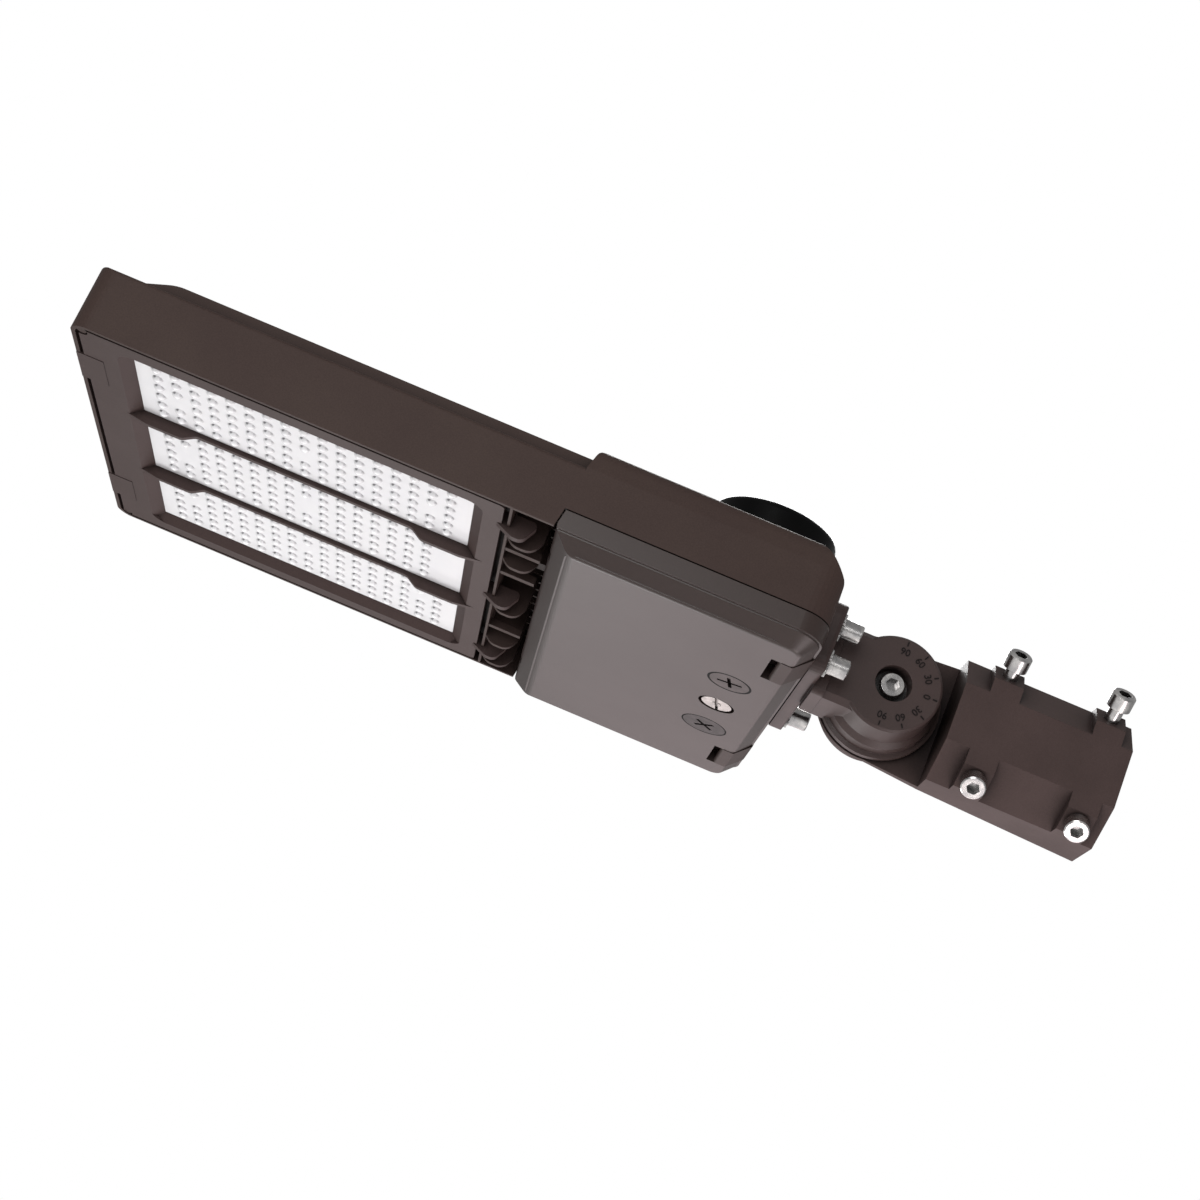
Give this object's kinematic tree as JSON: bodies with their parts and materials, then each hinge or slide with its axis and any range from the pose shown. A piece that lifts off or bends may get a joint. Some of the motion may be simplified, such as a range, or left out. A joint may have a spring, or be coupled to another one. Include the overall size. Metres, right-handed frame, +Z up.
{
  "type": "outdoor area light",
  "caption": "Flat rectangular outdoor area light with cooling fins, a hinged driver door, a photocell and a tilting slip fitter for a pole tenon.",
  "frame": {"origin": "centre of the tenon socket's mouth", "axes": "+X out of the socket's mouth towards the pole, +Z up, so the LED side faces -Z"},
  "size_m": [0.695, 0.32, 0.1347],
  "materials": {
    "bronze_coat": "satin powder coat, dark bronze",
    "zinc_steel": "bright zinc",
    "black_plastic": "satin",
    "clear_lens": "clear, glossy",
    "seal_rubber": "matt",
    "white_board": "white solder mask",
    "green_board": "green solder mask",
    "bronze_plastic": "satin",
    "grey_plastic": "satin",
    "driver_case": "brushed",
    "red_plastic": "satin"
  },
  "bodies": {
    "pole_mount": {"slip_fitter": "bronze_coat", "pivot_bolt": "zinc_steel", "pivot_washer": "zinc_steel", "pivot_nut": "zinc_steel"},
    "screw_upper_front": {"set_screw_upper_front": "zinc_steel"},
    "screw_upper_rear": {"set_screw_upper_rear": "zinc_steel"},
    "screw_lower_front": {"set_screw_lower_front": "zinc_steel"},
    "screw_lower_rear": {"set_screw_lower_rear": "zinc_steel"},
    "head": {"knuckle_bracket": "bronze_coat", "bracket_gasket": "seal_rubber", "bracket_bolts": "zinc_steel", "bracket_washers": "zinc_steel", "housing": "bronze_coat", "lens_frame": "bronze_coat", "lens_gasket": "seal_rubber", "lens_strip_near": "clear_lens", "lens_strip_middle": "clear_lens", "lens_strip_far": "clear_lens", "led_board_near": "white_board", "led_board_middle": "white_board", "led_board_far": "white_board", "door_gasket": "seal_rubber", "hinge_pins": "zinc_steel", "driver": "driver_case", "driver_screws": "zinc_steel", "surge_protector": "red_plastic", "terminal_block": "black_plastic", "receptacle": "black_plastic", "receptacle_gasket": "seal_rubber", "led_wires": "red_plastic", "supply_wires": "red_plastic"},
    "door": {"driver_door": "bronze_coat", "latch_pins": "zinc_steel", "selector_board": "green_board"},
    "latch_lever_near": {"latch_near": "bronze_coat"},
    "latch_lever_far": {"latch_far": "bronze_coat"},
    "door_screw": {"door_screw": "zinc_steel", "door_screw_ring": "zinc_steel"},
    "power_dial": {"power_dial": "bronze_plastic"},
    "colour_dial": {"colour_dial": "grey_plastic"},
    "photocell": {"photocell": "black_plastic"}
  },
  "joints": [
    {"name": "knuckle_tilt", "type": "hinge", "parent": "pole_mount", "child": "head", "pos_m": [-0.157, 0, 0], "axis": [0, 1, 0], "range_deg": [-90, 90]},
    {"name": "door_hinge", "type": "hinge", "parent": "head", "child": "door", "pos_m": [-0.3815, 0, -0.0328], "axis": [0, 1, 0], "range_deg": [0, 85]},
    {"name": "latch_near_turn", "type": "hinge", "parent": "door", "child": "latch_lever_near", "pos_m": [-0.221, -0.104, -0.035], "axis": [0, -1, 0], "range_deg": [0, 25]},
    {"name": "latch_far_turn", "type": "hinge", "parent": "door", "child": "latch_lever_far", "pos_m": [-0.221, 0.104, -0.035], "axis": [0, -1, 0], "range_deg": [0, 25]},
    {"name": "door_screw_turn", "type": "hinge", "parent": "door", "child": "door_screw", "pos_m": [-0.254, 0, -0.045], "axis": [0, 0, 1], "range_deg": [0, 90]},
    {"name": "power_dial_turn", "type": "hinge", "parent": "door", "child": "power_dial", "pos_m": [-0.254, -0.0507, -0.045], "axis": [0, 0, 1], "range_deg": [0, 90]},
    {"name": "colour_dial_turn", "type": "hinge", "parent": "door", "child": "colour_dial", "pos_m": [-0.254, 0.0507, -0.045], "axis": [0, 0, 1], "range_deg": [-45, 45]},
    {"name": "photocell_twist", "type": "hinge", "parent": "head", "child": "photocell", "pos_m": [-0.261, 0, 0.0333], "axis": [0, 0, 1], "range_deg": [0, 20]},
    {"name": "set_screw_upper_front_slide", "type": "slide", "parent": "pole_mount", "child": "screw_upper_front", "axis": [0, 0.7071, -0.7071], "range_m": [-0.003, 0.00725]},
    {"name": "set_screw_upper_rear_slide", "type": "slide", "parent": "pole_mount", "child": "screw_upper_rear", "axis": [0, 0.7071, -0.7071], "range_m": [0, 0.00995]},
    {"name": "set_screw_lower_front_slide", "type": "slide", "parent": "pole_mount", "child": "screw_lower_front", "axis": [0, 0.7071, 0.7071], "range_m": [-0.0107, 0.00125]},
    {"name": "set_screw_lower_rear_slide", "type": "slide", "parent": "pole_mount", "child": "screw_lower_rear", "axis": [0, 0.7071, 0.7071], "range_m": [-0.0107, 0.00125]}
  ]
}
